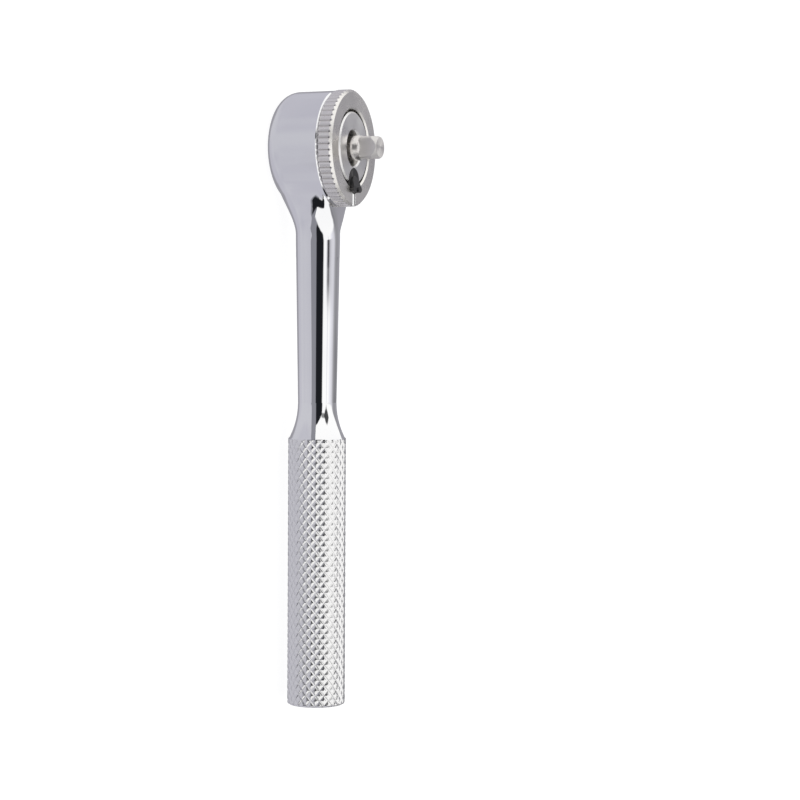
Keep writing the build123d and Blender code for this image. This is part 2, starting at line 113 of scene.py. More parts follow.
# ------------------------------------------------------------------ finishing sizes
neck_start = -0.62 * head_radius
neck_reach = -0.5 * head_radius
neck_end = -28.5 * mm
neck_blend = 3.0 * mm
neck_softness = 1.8 * mm
neck_agreement = 0.8
place_steps = 1e6
facing_steps = 1e3
cone_start = neck_end - 4 * mm
cone_margin = 15 * mm
lip_width = 0.5 * mm
lip_depth = 1.5 * mm
edge_round = 0.25 * mm
edge_angle = radians(40)
weld_distance = 0.001 * mm
plate_relief = 0.02 * mm
fine_relief = 0.01 * mm

# Two limits each, between which a finish, a painted shade or a painted highlight changes
head_fade = (-0.6 * head_radius, -0.2 * head_radius)
grip_fade = (grip_near, grip_near - 0.2 * mm)
flute_top = (ring_high.z - 0.9 * mm, ring_high.z - 0.7 * mm)
flute_foot = (ring_high.z - 1.3 * mm, ring_high.z - 1.0 * mm)
flute_mouth = (ring_high.x - 0.34 * mm, ring_high.x - 0.14 * mm)
flute_floor = (ring_high.x - 0.6 * mm, ring_high.x - 0.5 * mm)
mark_half = 1.2 * mm
mark_lean = 0.38
mark_side = (mark_half - 0.02 * mm, mark_half + 0.02 * mm)
mark_end = (-11.0 * mm, -10.5 * mm)
mark_level = (ring_high.z - 0.9 * mm, ring_high.z - 0.8 * mm)
well_level = (ring_high.z - 0.9 * mm, ring_high.z - 0.3 * mm)
well_wall = (3.75 * mm, 3.85 * mm)
well_ends = (1.2 * mm, 2.8 * mm)
square_level = (ring_high.z + 2.5 * mm, ring_high.z + 2.9 * mm)

# ------------------------------------------------------------------ finishes
noise_range = (0.3, 0.7)
cloud_range = (0.35, 0.65)
plate_dull = (0.89, 0.89, 0.90, 1)
plate_bright = (0.94, 0.94, 0.94, 1)
plate_worn = (0.89, 0.885, 0.88, 1)
ring_plate = (0.93, 0.905, 0.87, 1)
cover_plate = (0.92, 0.91, 0.90, 1)
core_plate = (0.90, 0.875, 0.85, 1)
# Painted highlight: the paler plate laid on the ring's index mark
mark_highlight_plate = (0.97, 0.97, 0.96, 1)
# Painted shade: the dark colour laid into the hollows of the ring's flutes
flute_shade = (0.22, 0.21, 0.20, 1)
# Painted shade: the near-black colour laid into the well round the drive
well_shade = (0.05, 0.048, 0.045, 1)
oxide_dark = (0.028, 0.027, 0.028, 1)
oxide_pale = (0.05, 0.049, 0.05, 1)
oxide_worn = (0.16, 0.155, 0.15, 1)
rubber_dark = (0.02, 0.02, 0.02, 1)
rubber_pale = (0.035, 0.034, 0.033, 1)
ground_grey = (0.50, 0.49, 0.48, 1)
wire_grey = (0.58, 0.57, 0.56, 1)
ball_grey = (0.78, 0.78, 0.79, 1)

# ------------------------------------------------------------------ view
camera_azimuth = radians(66.219)
camera_roll = radians(0.310)
camera_distance = 648.87 * mm
camera_along = -54.67 * mm
camera_yaw = radians(2.1717)
camera_pitch = radians(-1.7675)
camera_lens = 97.766
camera_clip = (0.01, 20)

# ------------------------------------------------------------------ light
lavender = (0.53, 0.525, 0.59)
lavender_pale = (0.59, 0.59, 0.64)
dark_grey = (0.265, 0.267, 0.30)
black = (0.012, 0.013, 0.016)
white = (1.05, 1.05, 1.05)
mid_grey = (0.34, 0.335, 0.37)
cool = (0.985, 0.98, 1.055)
strip_slant = 0.6
slant_limit = radians(20)
shape_rise = radians(15.5)
shape_strength = 0.95
bridge_strength = 0.75
floor_size = 4.0
floor_glow = 0.89
floor_shade = 0.25
floor_grain = 0.03


# ------------------------------------------------------------------ node helpers
def add(tree, kind, **settings):
    """A new node with some of its properties set."""
    made = tree.nodes.new(kind)
    for name, value in settings.items():
        setattr(made, name, value)
    return made


def feed(tree, source, target):
    """Joins an output socket to an input, or sets the input to a plain value."""
    if isinstance(source, bpy.types.NodeSocket):
        tree.links.new(source, target)
    else:
        target.default_value = source


def math(tree, operation, first, second=0.0):
    """The result of one operation on two sockets or plain values."""
    made = add(tree, "ShaderNodeMath", operation=operation)
    feed(tree, first, made.inputs[0])
    feed(tree, second, made.inputs[1])
    return made.outputs[0]


def spread(tree, value, low, high, to_low, to_high, smooth=True):
    """The value's place between two limits, smoothly taken to two others."""
    made = add(tree, "ShaderNodeMapRange", interpolation_type="SMOOTHSTEP" if smooth else "LINEAR")
    for socket, number in zip(made.inputs, (value, low, high, to_low, to_high)):
        feed(tree, number, socket)
    return made.outputs[0]


def rising(tree, value, low, high):
    """0 below the first limit, 1 past the second."""
    return spread(tree, value, low, high, 0.0, 1.0)


def falling(tree, value, low, high):
    """1 below the first limit, 0 past the second."""
    return spread(tree, value, low, high, 1.0, 0.0)


def varied(tree, pattern, low, high):
    """Two values by a noise, over the range that a noise mostly keeps to."""
    return spread(tree, pattern, *noise_range, low, high)


def mixed(tree, share, first, second):
    """A colour between two, by a share."""
    made = add(tree, "ShaderNodeMix", data_type="RGBA")
    feed(tree, share, made.inputs[0])
    feed(tree, first, made.inputs[6])
    feed(tree, second, made.inputs[7])
    return made.outputs[2]


def both(tree, *shares):
    """The product of shares, which is high where all of them are."""
    result = shares[0]
    for share in shares[1:]:
        result = math(tree, "MULTIPLY", result, share)
    return result


def noise(tree, coordinates, scale, detail=3.0, stretch=(1, 1, 1)):
    """Soft noise over coordinates, about 0.5."""
    mapping = add(tree, "ShaderNodeMapping")
    mapping.inputs["Scale"].default_value = stretch
    tree.links.new(coordinates, mapping.inputs["Vector"])
    made = add(tree, "ShaderNodeTexNoise")
    made.inputs["Scale"].default_value = scale
    made.inputs["Detail"].default_value = detail
    tree.links.new(mapping.outputs[0], made.inputs["Vector"])
    return made.outputs[0]


def bump(tree, height, strength, distance, under=None):
    """Normals that follow a height, laid over a finer relief where one is given."""
    made = add(tree, "ShaderNodeBump")
    made.inputs["Strength"].default_value = strength
    made.inputs["Distance"].default_value = distance
    tree.links.new(height, made.inputs["Height"])
    if under is not None:
        tree.links.new(under, made.inputs["Normal"])
    return made.outputs[0]


def axes(tree, place):
    """The three coordinates of a place, as sockets."""
    split = add(tree, "ShaderNodeSeparateXYZ")
    tree.links.new(place, split.inputs[0])
    return split.outputs["X"], split.outputs["Y"], split.outputs["Z"]


def part_along(tree, direction, axis):
    """How much of a direction goes along a fixed axis."""
    made = add(tree, "ShaderNodeVectorMath", operation="DOT_PRODUCT")
    tree.links.new(direction, made.inputs[0])
    made.inputs[1].default_value = axis
    return made.outputs["Value"]


def new_material(name):
    """A material with its shader, and the row frame's coordinates as a socket."""
    material = bpy.data.materials.new(name)
    material.use_nodes = True
    tree = material.node_tree
    shader = tree.nodes["Principled BSDF"]
    place = add(tree, "ShaderNodeTexCoord").outputs["Object"]
    return material, tree, shader, place


def paint(target, material):
    """Gives every face of an object one material."""
    target.data.materials.clear()
    target.data.materials.append(material)


# ------------------------------------------------------------------ materials
def chrome_material():
    """Polished plate: a little softer over the head, bright on the shank, dulled in the knurl."""
    material, tree, shader, place = new_material("chrome_plate")
    _, y, _ = axes(tree, place)
    in_head = rising(tree, y, *head_fade)
    in_grip = rising(tree, y, *grip_fade)
    smudge = noise(tree, place, 60.0, 4.0)
    cloud = noise(tree, place, 45.0, 1.0)
    grain = noise(tree, place, 2500.0, 2.0)
    satin = varied(tree, smudge, 0.08, 0.16)
    bright = varied(tree, smudge, 0.03, 0.05)
    worn = varied(tree, grain, 0.16, 0.26)
    over_head = math(tree, "MULTIPLY", in_head, math(tree, "SUBTRACT", satin, bright))
    over_grip = math(tree, "MULTIPLY", in_grip, math(tree, "SUBTRACT", worn, bright))
    roughness = math(tree, "ADD", math(tree, "ADD", bright, over_head), over_grip)
    tree.links.new(roughness, shader.inputs["Roughness"])
    colour = mixed(tree, rising(tree, cloud, *cloud_range), plate_dull, plate_bright)
    colour = mixed(tree, in_grip, colour, plate_worn)
    tree.links.new(colour, shader.inputs["Base Color"])
    shader.inputs["Metallic"].default_value = 1.0
    tree.links.new(bump(tree, noise(tree, place, 220.0, 3.0), 0.05, plate_relief), shader.inputs["Normal"])
    return material


def with_flutes(tree, x, y, z, radius, finish, dull, relief):
    """Painted shade in the hollows of the ring's flutes, and a flat on its face that leans a little to the
    side and is paler as a painted highlight.
    """
    # Painted shade: the hollows of the flutes are darkened, most towards the ring's face
    flute_shade_share = both(
        tree, falling(tree, z, *flute_top), falling(tree, radius, *flute_mouth),
        rising(tree, radius, *flute_floor), spread(tree, z, *flute_foot, 0.25, 1.0),
    )
    # The index mark's lean is relief, and its paler plate is a painted highlight
    mark = both(
        tree, falling(tree, math(tree, "ABSOLUTE", x), *mark_side),
        falling(tree, y, *mark_end), rising(tree, z, *mark_level),
    )
    finish = mixed(tree, mark, mixed(tree, flute_shade_share, finish, flute_shade), mark_highlight_plate)
    smoother = math(tree, "SUBTRACT", 1.0, math(tree, "MULTIPLY", mark, 0.5))
    lean = math(tree, "MULTIPLY", math(tree, "SUBTRACT", x, mark_half), mark_lean)
    relief = bump(tree, math(tree, "MULTIPLY", lean, mark), 1.0, 1.0, relief)
    return finish, math(tree, "MULTIPLY", dull, smoother), relief


def with_well(tree, x, y, z, radius, finish, dull, relief):
    """Painted shade in the well round the drive, and a duller end on its square."""
    # Painted shade: the well below the ring's face and off the neck's wall is darkened
    well_shade_share = both(
        tree, falling(tree, z, *well_level), rising(tree, radius, *well_wall),
        rising(tree, math(tree, "ABSOLUTE", y), *well_ends),
    )
    dull = math(tree, "MAXIMUM", dull, math(tree, "MULTIPLY", well_shade_share, 0.5))
    on_square = rising(tree, z, *square_level)
    dull = math(tree, "ADD", dull, math(tree, "MULTIPLY", on_square, 0.2))
    return mixed(tree, well_shade_share, finish, well_shade), dull, relief


def turned_material(name, colour, roughness, rings_per_m, painted_shade_and_marks=None):
    """Plated steel faced on a lathe, with faint rings about the drive's axis and a part's own painted shade
    and marks.
    """
    material, tree, shader, place = new_material(name)
    x, y, z = axes(tree, place)
    square = math(tree, "ADD", math(tree, "POWER", x, 2.0), math(tree, "POWER", y, 2.0))
    radius = math(tree, "SQRT", square)
    combined = add(tree, "ShaderNodeCombineXYZ")
    tree.links.new(radius, combined.inputs[0])
    rings = noise(tree, combined.outputs[0], rings_per_m, 2.0)
    smudge = noise(tree, place, 180.0, 3.0)
    darker = tuple(0.94 * channel for channel in colour[:3]) + (1,)
    finish = mixed(tree, rings, darker, colour)
    dull = varied(tree, smudge, roughness * 0.9, roughness * 1.15)
    relief = bump(tree, rings, 0.06, fine_relief)
    # A part's painted shade and painted highlight, where it has them
    if painted_shade_and_marks:
        finish, dull, relief = painted_shade_and_marks(tree, x, y, z, radius, finish, dull, relief)
    tangent = add(tree, "ShaderNodeTangent", direction_type="RADIAL", axis="Z")
    tree.links.new(finish, shader.inputs["Base Color"])
    tree.links.new(dull, shader.inputs["Roughness"])
    tree.links.new(relief, shader.inputs["Normal"])
    tree.links.new(tangent.outputs[0], shader.inputs["Tangent"])
    shader.inputs["Anisotropic"].default_value = 0.7
    shader.inputs["Metallic"].default_value = 1.0
    return material


def black_oxide_material():
    """Black oxide on steel, rubbed paler where a thumb wears its edges."""
    material, tree, shader, place = new_material("black_oxide")
    geometry = add(tree, "ShaderNodeNewGeometry")
    edge = spread(tree, geometry.outputs["Pointiness"], 0.5, 0.62, 0.0, 0.6)
    mottle = noise(tree, place, 900.0, 4.0)
    base = mixed(tree, mottle, oxide_dark, oxide_pale)
    tree.links.new(mixed(tree, edge, base, oxide_worn), shader.inputs["Base Color"])
    tree.links.new(varied(tree, mottle, 0.3, 0.42), shader.inputs["Roughness"])
    shader.inputs["Metallic"].default_value = 0.6
    tree.links.new(bump(tree, mottle, 0.1, fine_relief), shader.inputs["Normal"])
    return material


def ground_material(name, colour, roughness):
    """Hardened steel, ground and oiled."""
    material, tree, shader, place = new_material(name)
    grain = noise(tree, place, 1500.0, 3.0, (1.0, 1.0, 0.12))
    darker = tuple(0.8 * channel for channel in colour[:3]) + (1,)
    tree.links.new(mixed(tree, grain, darker, colour), shader.inputs["Base Color"])
    tree.links.new(varied(tree, grain, roughness * 0.8, roughness * 1.3), shader.inputs["Roughness"])
    shader.inputs["Metallic"].default_value = 1.0
    tree.links.new(bump(tree, grain, 0.12, fine_relief), shader.inputs["Normal"])
    return material


def rubber_material():
    """Soft black rubber, dull all over."""
    material, tree, shader, place = new_material("seal_rubber_black")
    grain = noise(tree, place, 1200.0, 3.0)
    tree.links.new(mixed(tree, grain, rubber_dark, rubber_pale), shader.inputs["Base Color"])
    tree.links.new(varied(tree, grain, 0.6, 0.75), shader.inputs["Roughness"])
    tree.links.new(bump(tree, grain, 0.2, fine_relief), shader.inputs["Normal"])
    return material


# ------------------------------------------------------------------ knurled forging
def unit_rows(vectors):
    """Vectors brought to length 1, and left at 0 where they have none."""
    return vectors / np.maximum(np.linalg.norm(vectors, axis=-1, keepdims=True), 1e-12)


def knurl_sides(around, rows):
    """Where a place is between two grooves of each family, -1 to 1 with 0 midway."""
    first, second = around + rows, around - rows
    return 2 * (first - np.floor(first) - 0.5), 2 * (second - np.floor(second) - 0.5)


def knurl_cut(along):
    """The groove's share of its full depth, nothing next to the flare."""
    return np.clip((along - knurl_margin) / knurl_run_in, 0, 1)


def grip_profile():
    """Rows of the pattern along the grip, the distance, the plain radius and its slope at each."""
    count = int(grip_length / knurl_pitch * cells_across)
    step = knurl_pitch / cells_across
    first = knurl_shift * cells_across % 1 * step
    spots = [first + i * step for i in range(count + 1)]
    along = [0.0] + [spot for spot in spots if row_margin < spot < grip_length - row_margin]
    along.append(grip_length)
    radius, slope = [grip_radius] * len(along), [0.0] * len(along)
    end_round = grip_far - handle_end
    for ring in range(1, end_rings):
        turn = ring / end_rings * pi / 2
        along.append(grip_length + end_round * sin(turn))
        radius.append(grip_radius - end_round * (1 - cos(turn)))
        slope.append(-sin(turn) / cos(turn))
    return np.array(along), np.array(radius), np.array(slope)


def knurl_cells(rows, columns):
    """The ring and column of each triangle's corners, two triangles to a cell."""
    ring, column = np.meshgrid(np.arange(len(rows) - 1), np.arange(columns), indexing="ij")
    ring, column = ring.ravel(), column.ravel()
    corners = ((0, 0), (0, 1), (1, 1), (1, 0))
    a, b, c, d = [np.stack([ring + down, column + over], 1) for down, over in corners]
    by_first = np.stack([a, d, b, b, d, c], 1).reshape(-1, 2, 3, 2)
    by_second = np.stack([a, c, b, a, d, c], 1).reshape(-1, 2, 3, 2)
    # Each cell is split along the nearer groove, so that the grooves stay straight and sharp
    middle = knurl_sides((column + 0.5) / cells_across, (rows[ring] + rows[ring + 1]) / 2)
    on_first = np.abs(middle[0]) >= np.abs(middle[1])
    return np.where(on_first[:, None, None, None], by_first, by_second).reshape(-1, 3, 2)


def knurl_normals(cells, rows, depths, slope, reach, turns):
    """The surface's own normal at every corner of the triangles, on the triangle's side of each groove."""
    ring, column = cells[:, :, 0], cells[:, :, 1]
    corner_around, corner_rows = column / cells_across, rows[ring]
    centre_around, centre_rows = cells.mean(axis=1)[:, 1] / cells_across, corner_rows.mean(axis=1)
    sides = []
    for sign in (1, -1):
        whole = np.floor(centre_around + sign * centre_rows)
        sides.append(2 * (corner_around + sign * corner_rows - whole[:, None] - 0.5))
    middle = [side.mean(axis=1) for side in sides]
    first_rules = (np.abs(middle[0]) >= np.abs(middle[1]))[:, None]
    side = np.where(first_rules, sides[0], sides[1])
    sign = np.where(first_rules, 1.0, -1.0)
    steep = -2 * knurl_power * np.abs(side) ** (knurl_power - 1) * np.sign(side)
    by_turn = depths[ring] * steep * knurl_around / (2 * pi)
    by_along = depths[ring] * steep * sign / knurl_pitch + slope[ring]
    wrapped = column % len(turns)
    radius, angle = reach[ring, wrapped], turns[wrapped]
    out = np.stack([np.sin(angle), np.zeros_like(angle), np.cos(angle)], 2)
    side_way = np.stack([np.cos(angle), np.zeros_like(angle), -np.sin(angle)], 2)
    normals = out - (by_turn / radius)[:, :, None] * side_way
    normals[:, :, 1] = by_along
    return unit_rows(normals)


def knurled_grid():
    """Points, triangles and corner normals of the knurled surface, ring by ring from the flare."""
    along, plain, slope = grip_profile()
    rows = along / knurl_pitch - knurl_shift
    depths = knurl_depth * knurl_cut(along)
    columns = knurl_around * cells_across
    around = np.arange(columns) / cells_across
    first, second = knurl_sides(around[None, :], rows[:, None])
    drop = np.maximum(np.abs(first), np.abs(second)) ** knurl_power
    reach = plain[:, None] - depths[:, None] * drop
    turns = 2 * pi * (around - knurl_turn) / knurl_around
    points = np.stack([
        reach * np.sin(turns)[None, :],
        np.repeat((grip_near - along)[:, None], columns, axis=1),
        axis_height + reach * np.cos(turns)[None, :],
    ], 2)
    cells = knurl_cells(rows, columns)
    normals = knurl_normals(cells, rows, depths, slope, reach, turns)
    return points, cells[:, :, 0] * columns + cells[:, :, 1] % columns, normals


def ring_order(points, members):
    """The members of a ring about the handle's axis, in the order of their angle."""
    angles = [atan2(points[m][0], points[m][2] - axis_height) % (2 * pi) for m in members]
    order = np.argsort(angles)
    return [members[i] for i in order], [angles[i] for i in order]


def zip_rings(points, first, second):
    """Triangles between two rings with different numbers of points."""
    near, near_angle = ring_order(points, first)
    far, far_angle = ring_order(points, second)
    near_angle.append(near_angle[0] + 2 * pi)
    far_angle.append(far_angle[0] + 2 * pi)
    i, j, faces = 0, 0, []
    while i < len(near) or j < len(far):
        here, there = near[i % len(near)], far[j % len(far)]
        next_near = near_angle[i + 1] if i < len(near) else inf
        next_far = far_angle[j + 1] if j < len(far) else inf
        if next_near <= next_far:
            i += 1
            faces.append((here, there, near[i % len(near)]))
        else:
            j += 1
            faces.append((here, there, far[j % len(far)]))
    return faces


def neck_average(places, own, triangles):
    """The mean facing of the triangles round each place, of those that agree with its own normal."""
    crossed = np.cross(triangles[:, 1] - triangles[:, 0], triangles[:, 2] - triangles[:, 0])
    area = np.linalg.norm(crossed, axis=1)
    centres = triangles.mean(axis=1)
    near = (area > 0) & (centres[:, 1] < neck_reach) & (centres[:, 1] > cone_start)
    crossed, area, centres = crossed[near], area[near], centres[near]
    facing = crossed / area[:, None]
    gap = ((places[:, None, :] - centres[None, :, :]) ** 2).sum(axis=2)
    weight = np.exp(-gap / (2 * neck_softness**2)) * area[None, :] * (own @ facing.T > neck_agreement)
    found = weight.sum(axis=1) > 0
    return np.where(found[:, None], unit_rows(weight @ facing), own)


def cone_normals(points, spots):
    """The shank's own normals at spots, which lean by its taper."""
    on_shank = [
        (p[1], hypot(p[0], p[2] - axis_height)) for p in points if grip_near + cone_margin < p[1] < cone_start
    ]
    first, last = max(on_shank), min(on_shank)
    lean = (last[1] - first[1]) / (first[0] - last[0])
    out = unit_rows(np.stack([spots[:, 0], np.zeros(len(spots)), spots[:, 2] - axis_height], 1))
    return unit_rows(out + np.array([0, lean, 0]))


def smoothed_neck(points, faces, normals):
    """Corner normals: averaged over their neighbourhood on the neck, and the shank's own cone beyond it."""
    points, normals = np.array(points), np.array(normals)
    spots = points[np.concatenate(faces)]
    by_head = np.hypot(spots[:, 0], spots[:, 1]) < head_radius + lip_width
    by_lip = by_head & (spots[:, 2] > ring_low.z - lip_depth)
    inner = np.where((spots[:, 1] < neck_start) & (spots[:, 1] > neck_end) & ~by_lip)[0]
    # Corners that share a place and a facing are worked out once
    keys = np.round(np.hstack([spots[inner] * place_steps, normals[inner] * facing_steps])).astype(int)
    unique, back = np.unique(keys, axis=0, return_inverse=True)
    places, own = unique[:, :3] / place_steps, unique[:, 3:] / facing_steps
    normals[inner] = neck_average(places, own, points[np.array(faces)])[back.ravel()]
    share = np.clip((neck_end + neck_blend - spots[:, 1]) / neck_blend, 0, 1)[:, None]
    share = np.where(spots[:, 1:2] > cone_start, share, 0)
    blended = normals * (1 - share) + cone_normals(points, spots) * share
    return [tuple(n) for n in unit_rows(blended)]


def soften(node):
    """Rounds a part's sharp edges by a hair."""
    weld = node.modifiers.new("weld", "WELD")
    weld.merge_threshold = weld_distance
    rounder = node.modifiers.new("rounder", "BEVEL")
    rounder.width = edge_round
    rounder.segments = 2
    rounder.limit_method = "ANGLE"
    rounder.angle_limit = edge_angle
    rounder.use_clamp_overlap = True
    rounder.harden_normals = True


def vectors_of(items, name):
    """A vector property of every item, one row each."""
    values = np.zeros(len(items) * 3)
    items.foreach_get(name, values)
    return values.reshape(-1, 3)


def merged_points(points):
    """The distinct places among points, and for every point the number of its place."""
    numbers, places, merged = {}, [], []
    for point in points:
        key = tuple(np.round(point, 7))
        if key not in numbers:
            numbers[key] = len(places)
            places.append(point)
        merged.append(numbers[key])
    return places, merged


def open_points_of(faces):
    """The points on edges that no second face shares."""
    edges = {(a, b) for face in faces for a, b in zip(face, face[1:] + face[:1])}
    return sorted({p for a, b in edges if (b, a) not in edges for p in (a, b)})


def head_and_shank():
    """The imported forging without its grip: places, faces and corner normals."""
    packed = nodes["forged_body"].data
    normals = vectors_of(packed.corner_normals, "vector")
    places, merged = merged_points(vectors_of(packed.vertices, "co"))
    faces, corner_normals = [], []
    for polygon in packed.polygons:
        corners = [merged[v] for v in polygon.vertices]
        along = [places[c][1] for c in corners]
        on_grip = min(along) < grip_near + flare_reach and max(along) > handle_end + end_reach
        if len(set(corners)) < 3 or on_grip:
            continue
        faces.append(corners)
        corner_normals += [normals[loop] for loop in polygon.loop_indices]
    return places, faces, smoothed_neck(places, faces, corner_normals)


def collar_normal(place):
    """Outward from the handle's axis, leaning towards the head."""
    out = Vector((place[0], 0, place[2] - axis_height)).normalized()
    return tuple((out + Vector((0, collar_lean, 0))).normalized())


def knurled_forging():
    """The forging as packed, with its plain grip changed for a knurled one in the same space."""
    places, faces, corner_normals = head_and_shank()
    open_points = open_points_of(faces)
    near_ring = [p for p in open_points if places[p][1] > grip_far]
    far_ring = [p for p in open_points if places[p][1] <= grip_far]
    grid, cells, cell_normals = knurled_grid()
    rings, columns = grid.shape[:2]
    start = len(places)
    places += list(grid.reshape(-1, 3))
    first = [start + c for c in range(columns)]
    last = [start + (rings - 1) * columns + c for c in range(columns)]
    collar = zip_rings(places, near_ring, first)
    cap = zip_rings(places, last, far_ring)
    faces += collar + [tuple(int(v) for v in cell + start) for cell in cells] + cap
    corner_normals += [collar_normal(places[corner]) for face in collar for corner in face]
    corner_normals += [tuple(n) for n in cell_normals.reshape(-1, 3)]
    mesh = bpy.data.meshes.new("knurled_forging")
    mesh.from_pydata([tuple(p) for p in places], [], faces)
    mesh.polygons.foreach_set("use_smooth", [True] * len(mesh.polygons))
    mesh.update()
    vertex_normals = vectors_of(mesh.vertex_normals, "vector")
    for face in cap:
        corner_normals += [vertex_normals[v] for v in face]
    mesh.normals_split_custom_set([tuple(n) for n in corner_normals])
    piece = bpy.data.objects.new("knurled_forging", mesh)
    bpy.context.scene.collection.objects.link(piece)
    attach(piece, "handle")
    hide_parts("forged_body")
    return piece


# ------------------------------------------------------------------ springs
def coil(joint, material):
    """A spring as packed, copied as its own piece on its joint's parent."""
    held = joint["deforming_nodes"][0]
    name = held["node"]
    piece = bpy.data.objects.new(name + "_coil", nodes[name].data.copy())
    bpy.context.scene.collection.objects.link(piece)
    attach(piece, joint["parent"])
    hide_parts(name)
    paint(piece, material)
    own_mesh(piece)


# ------------------------------------------------------------------ room
to_camera = Vector((-sin(camera_azimuth), 0, cos(camera_azimuth)))
to_right = Vector((cos(camera_azimuth), 0, sin(camera_azimuth)))


def ring_of_light(tree, share, stops):
    """Colours or plain levels by an angle in degrees, -180 to 180."""
    ramp = add(tree, "ShaderNodeValToRGB")
    band = ramp.color_ramp
    while len(band.elements) > 1:
        band.elements.remove(band.elements[-1])
    for index, (angle, tone) in enumerate(stops):
        colour = tone if isinstance(tone, tuple) else tuple(tone * tint for tint in cool)
        at = (angle + 180) / 360
        element = band.elements[0] if index == 0 else band.elements.new(at)
        element.position = at
        element.color = (*colour, 1)
    tree.links.new(share, ramp.inputs[0])
    return ramp.outputs[0]


def share_of_round(tree, angle):
    """An angle of -180 to 180 degrees as 0 to 1, which is how a ring of light takes it."""
    return spread(tree, angle, -pi, pi, 0.0, 1.0, smooth=False)


def limit_by_angle(tree, share, stops):
    """An angle that depends on another one, both given in degrees."""
    level = ring_of_light(tree, share, [(angle, ((limit + 90) / 180,) * 3) for angle, limit in stops])
    return math(tree, "MULTIPLY", math(tree, "SUBTRACT", level, 0.5), pi)


def beyond(tree, value, limit, width):
    """1 where an angle has passed a limit, with a soft edge of some degrees."""
    past = math(tree, "SUBTRACT", value, limit)
    return rising(tree, past, radians(-width / 2), radians(width / 2))


def laid(tree, share, colour, tone):
    """A plain tone laid over a colour, by a share."""
    return mixed(tree, share, colour, (*tone, 1))


def strips(tree, slanted, rise):
    """Strips round the shank: one set towards its head end, one towards its grip end."""
    left_part = [(-180, dark_grey), (-9.5, dark_grey), (-6, black), (28, black), (33, white)]
    near_strips = ring_of_light(tree, slanted, left_part + [
        (45, white), (49, 0.62), (53, 0.2), (56, 0.05), (60, 0.05), (63, 0.3), (68, 0.55), (77, 0.69),
        (90, 0.74), (98, 0.62), (106, 0.37), (115, 0.30), (125, 0.30), (134, mid_grey), (180, mid_grey),
    ])
    far_strips = ring_of_light(tree, slanted, left_part + [
        (54, white), (58, 0.8), (62, white), (68, white), (78, 0.89), (95, 0.69), (103, 0.44),
        (113, 0.27), (125, 0.205), (147, 0.22), (160, 0.33), (180, 0.38),
    ])
    return mixed(tree, rising(tree, rise, radians(-1.3), radians(-0.1)), far_strips, near_strips)


def panels(tree, colour, round_share, rise, fall):
    """White panels above and below the strips."""
    top = limit_by_angle(tree, round_share, [
        (-12, 89), (-8, 31), (0, 29), (10, 24), (18, 19), (26, 12), (34, 5), (44, 2.6), (58, 2.2), (66, 2.4),
        (98, 3), (104, 7), (119, 12), (127, 18), (140, 40), (150, 89),
    ])
    colour = laid(tree, beyond(tree, rise, top, 2), colour, white)
    bottom = limit_by_angle(tree, round_share, [
        (-44, 89), (-38, 30), (-17, 24), (0, 19), (10, 14), (25, 9), (60, 4), (100, 5), (118, 6), (121, 89),
    ])
    return laid(tree, beyond(tree, fall, bottom, 4), colour, white)


def dark_shape(tree, colour, round_share, turn, rise):
    """A dark shape beside the slot's far end, and its bridge to the slot."""
    off_middle = math(tree, "ABSOLUTE", math(tree, "SUBTRACT", rise, shape_rise))
    half = limit_by_angle(tree, round_share, [(36, -3), (48, 8.5), (56, 11), (63, 6), (71, -3)])
    shape = both(
        tree, beyond(tree, half, off_middle, 5), beyond(tree, turn, radians(36), 6), shape_strength
    )
    bridge = both(
        tree, beyond(tree, radians(3.5), off_middle, 3), beyond(tree, turn, radians(22), 4),
        beyond(tree, radians(46), turn, 8), bridge_strength,
    )
    return laid(tree, bridge, laid(tree, shape, colour, black), black)


def dark_card(tree, colour, rise_share, left, turn, fall):
    """A dark card beyond the handle's end, with a foot on its left."""
    card = both(tree, beyond(tree, fall, radians(45.5), 3), beyond(tree, radians(62), fall, 6))
    foot = limit_by_angle(tree, rise_share, [(-47, -30), (-45, -40), (-39, -43), (-31, -46), (-27, -52)])
    foot = both(
        tree, beyond(tree, foot, turn, 4), beyond(tree, fall, radians(29), 4),
        beyond(tree, radians(50), fall, 4),
    )
    card_left = math(tree, "ADD", left, radians(3.2))
    card = both(
        tree, math(tree, "MAXIMUM", card, foot), beyond(tree, turn, card_left, 2.4),
        beyond(tree, radians(112), turn, 8),
    )
    return laid(tree, card, colour, black)


def lavender_side(tree, colour, direction, left, turn, rise, fall):
    """Lavender over everything on the left and straight down the handle, and grey behind."""
    patch = noise(tree, direction, 1.3, 2.0)
    wall = mixed(tree, rising(tree, patch, *cloud_range), (*lavender, 1), (*lavender_pale, 1))
    near_level = beyond(tree, radians(30), math(tree, "ABSOLUTE", rise), 10)
    behind = both(tree, beyond(tree, radians(-134), turn, 14), near_level)
    side = math(tree, "MAXIMUM", beyond(tree, left, turn, 2.5), beyond(tree, fall, radians(64), 5))
    return mixed(tree, side, colour, laid(tree, behind, wall, mid_grey))


